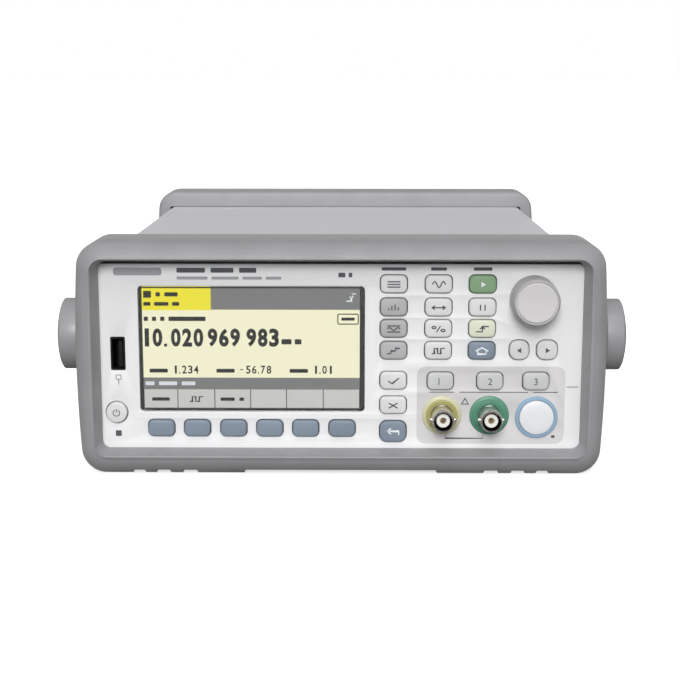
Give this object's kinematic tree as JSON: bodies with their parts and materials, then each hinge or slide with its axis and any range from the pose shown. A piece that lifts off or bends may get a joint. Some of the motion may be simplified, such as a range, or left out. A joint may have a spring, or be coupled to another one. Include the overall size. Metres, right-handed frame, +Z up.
{
  "type": "bench frequency counter",
  "caption": "Half-rack bench instrument with colour display, keypad, rotary knob and coaxial inputs between soft bumpers, with a turning handle.",
  "frame": {"origin": "middle of the bounding box's base, on the table", "axes": "+X right, +Y to the back, +Z up; the front panel faces -Y"},
  "size_m": [0.261, 0.3032, 0.102],
  "materials": {
    "bumper_rubber": "satin, fine grain",
    "handle_plastic": "fine grain",
    "sleeve_paint": "satin powder coat",
    "steel": "zinc plated",
    "panel_plastic": "fine satin",
    "membrane_rubber": "matte",
    "key_white": "satin",
    "key_grey": "satin",
    "key_blue": "satin",
    "key_green": "satin",
    "key_yellow": "satin",
    "window_glass": "clear",
    "display": "matte",
    "circuit_board": "solder mask",
    "nickel": "bright nickel plate",
    "plug_white": "satin",
    "knob_plastic": "satin",
    "black_plastic": "satin"
  },
  "bodies": {
    "instrument": {"front_bumper": "bumper_rubber", "rear_bumper": "bumper_rubber", "outer_sleeve": "sleeve_paint", "chassis_tray": "steel", "rear_panel": "steel", "front_bezel": "panel_plastic", "display_window": "window_glass", "display_module": "display", "keypad_membrane": "membrane_rubber", "front_board": "circuit_board", "main_board": "circuit_board", "power_supply": "circuit_board", "input_shield": "steel", "encoder": "steel", "fan_frame": "black_plastic", "left_pivot_boss": "handle_plastic", "right_pivot_boss": "handle_plastic", "input_bnc_1": "nickel", "input_bnc_2": "nickel", "channel_3_plug": "plug_white", "usb_host_port": "steel", "power_inlet": "black_plastic", "reference_input_bnc": "nickel", "reference_output_bnc": "nickel", "trigger_bnc": "nickel", "lan_port": "steel", "usb_device_port": "steel"},
    "handle": {"handle_left_arm": "handle_plastic", "handle_right_arm": "handle_plastic", "handle_grip": "handle_plastic"},
    "knob": {"knob": "knob_plastic"},
    "fan_rotor": {"fan_rotor": "black_plastic"},
    "fuse_drawer": {"fuse_drawer": "black_plastic"},
    "soft_key_1": {"soft_key_1": "key_blue"},
    "soft_key_2": {"soft_key_2": "key_blue"},
    "soft_key_3": {"soft_key_3": "key_blue"},
    "soft_key_4": {"soft_key_4": "key_blue"},
    "soft_key_5": {"soft_key_5": "key_blue"},
    "soft_key_6": {"soft_key_6": "key_blue"},
    "mode_key_1": {"mode_key_1": "key_white"},
    "mode_key_2": {"mode_key_2": "key_grey"},
    "mode_key_3": {"mode_key_3": "key_grey"},
    "mode_key_4": {"mode_key_4": "key_grey"},
    "function_key_1": {"function_key_1": "key_white"},
    "function_key_2": {"function_key_2": "key_white"},
    "function_key_3": {"function_key_3": "key_white"},
    "function_key_4": {"function_key_4": "key_white"},
    "run_key": {"run_key": "key_green"},
    "stop_key": {"stop_key": "key_white"},
    "trigger_key": {"trigger_key": "key_yellow"},
    "local_key": {"local_key": "key_blue"},
    "enter_key": {"enter_key": "key_white"},
    "cancel_key": {"cancel_key": "key_white"},
    "back_key": {"back_key": "key_blue"},
    "channel_key_1": {"channel_key_1": "key_white"},
    "channel_key_2": {"channel_key_2": "key_white"},
    "channel_key_3": {"channel_key_3": "key_white"},
    "left_arrow_key": {"left_arrow_key": "key_grey"},
    "right_arrow_key": {"right_arrow_key": "key_grey"},
    "power_key": {"power_key": "key_white"}
  },
  "joints": [
    {"name": "handle_turn", "type": "hinge", "parent": "instrument", "child": "handle", "pos_m": [0, -0.0996, 0.0545], "axis": [-1, 0, 0], "range_deg": [0, 306]},
    {"name": "knob_turn", "type": "hinge", "parent": "instrument", "child": "knob", "pos_m": [0.0835, -0.1383, 0.077], "axis": [0, 1, 0], "continuous": true},
    {"name": "fan_spin", "type": "hinge", "parent": "instrument", "child": "fan_rotor", "pos_m": [0.068, 0.12335, 0.05], "axis": [0, 1, 0], "continuous": true},
    {"name": "fuse_drawer_slide", "type": "slide", "parent": "instrument", "child": "fuse_drawer", "axis": [0, 1, 0], "range_m": [0, 0.018]},
    {"name": "soft_key_1_press", "type": "slide", "parent": "instrument", "child": "soft_key_1", "axis": [0, 1, 0], "range_m": [0, 0.0013], "stiffness_N_per_m": 1000},
    {"name": "soft_key_2_press", "type": "slide", "parent": "instrument", "child": "soft_key_2", "axis": [0, 1, 0], "range_m": [0, 0.0013], "stiffness_N_per_m": 1000},
    {"name": "soft_key_3_press", "type": "slide", "parent": "instrument", "child": "soft_key_3", "axis": [0, 1, 0], "range_m": [0, 0.0013], "stiffness_N_per_m": 1000},
    {"name": "soft_key_4_press", "type": "slide", "parent": "instrument", "child": "soft_key_4", "axis": [0, 1, 0], "range_m": [0, 0.0013], "stiffness_N_per_m": 1000},
    {"name": "soft_key_5_press", "type": "slide", "parent": "instrument", "child": "soft_key_5", "axis": [0, 1, 0], "range_m": [0, 0.0013], "stiffness_N_per_m": 1000},
    {"name": "soft_key_6_press", "type": "slide", "parent": "instrument", "child": "soft_key_6", "axis": [0, 1, 0], "range_m": [0, 0.0013], "stiffness_N_per_m": 1000},
    {"name": "mode_key_1_press", "type": "slide", "parent": "instrument", "child": "mode_key_1", "axis": [0, 1, 0], "range_m": [0, 0.0013], "stiffness_N_per_m": 1000},
    {"name": "mode_key_2_press", "type": "slide", "parent": "instrument", "child": "mode_key_2", "axis": [0, 1, 0], "range_m": [0, 0.0013], "stiffness_N_per_m": 1000},
    {"name": "mode_key_3_press", "type": "slide", "parent": "instrument", "child": "mode_key_3", "axis": [0, 1, 0], "range_m": [0, 0.0013], "stiffness_N_per_m": 1000},
    {"name": "mode_key_4_press", "type": "slide", "parent": "instrument", "child": "mode_key_4", "axis": [0, 1, 0], "range_m": [0, 0.0013], "stiffness_N_per_m": 1000},
    {"name": "function_key_1_press", "type": "slide", "parent": "instrument", "child": "function_key_1", "axis": [0, 1, 0], "range_m": [0, 0.0013], "stiffness_N_per_m": 1000},
    {"name": "function_key_2_press", "type": "slide", "parent": "instrument", "child": "function_key_2", "axis": [0, 1, 0], "range_m": [0, 0.0013], "stiffness_N_per_m": 1000},
    {"name": "function_key_3_press", "type": "slide", "parent": "instrument", "child": "function_key_3", "axis": [0, 1, 0], "range_m": [0, 0.0013], "stiffness_N_per_m": 1000},
    {"name": "function_key_4_press", "type": "slide", "parent": "instrument", "child": "function_key_4", "axis": [0, 1, 0], "range_m": [0, 0.0013], "stiffness_N_per_m": 1000},
    {"name": "run_key_press", "type": "slide", "parent": "instrument", "child": "run_key", "axis": [0, 1, 0], "range_m": [0, 0.0013], "stiffness_N_per_m": 1000},
    {"name": "stop_key_press", "type": "slide", "parent": "instrument", "child": "stop_key", "axis": [0, 1, 0], "range_m": [0, 0.0013], "stiffness_N_per_m": 1000},
    {"name": "trigger_key_press", "type": "slide", "parent": "instrument", "child": "trigger_key", "axis": [0, 1, 0], "range_m": [0, 0.0013], "stiffness_N_per_m": 1000},
    {"name": "local_key_press", "type": "slide", "parent": "instrument", "child": "local_key", "axis": [0, 1, 0], "range_m": [0, 0.0013], "stiffness_N_per_m": 1000},
    {"name": "enter_key_press", "type": "slide", "parent": "instrument", "child": "enter_key", "axis": [0, 1, 0], "range_m": [0, 0.0013], "stiffness_N_per_m": 1000},
    {"name": "cancel_key_press", "type": "slide", "parent": "instrument", "child": "cancel_key", "axis": [0, 1, 0], "range_m": [0, 0.0013], "stiffness_N_per_m": 1000},
    {"name": "back_key_press", "type": "slide", "parent": "instrument", "child": "back_key", "axis": [0, 1, 0], "range_m": [0, 0.0013], "stiffness_N_per_m": 1000},
    {"name": "channel_key_1_press", "type": "slide", "parent": "instrument", "child": "channel_key_1", "axis": [0, 1, 0], "range_m": [0, 0.0013], "stiffness_N_per_m": 1000},
    {"name": "channel_key_2_press", "type": "slide", "parent": "instrument", "child": "channel_key_2", "axis": [0, 1, 0], "range_m": [0, 0.0013], "stiffness_N_per_m": 1000},
    {"name": "channel_key_3_press", "type": "slide", "parent": "instrument", "child": "channel_key_3", "axis": [0, 1, 0], "range_m": [0, 0.0013], "stiffness_N_per_m": 1000},
    {"name": "left_arrow_key_press", "type": "slide", "parent": "instrument", "child": "left_arrow_key", "axis": [0, 1, 0], "range_m": [0, 0.0013], "stiffness_N_per_m": 1000},
    {"name": "right_arrow_key_press", "type": "slide", "parent": "instrument", "child": "right_arrow_key", "axis": [0, 1, 0], "range_m": [0, 0.0013], "stiffness_N_per_m": 1000},
    {"name": "power_key_press", "type": "slide", "parent": "instrument", "child": "power_key", "axis": [0, 1, 0], "range_m": [0, 0.0013], "stiffness_N_per_m": 1000}
  ]
}
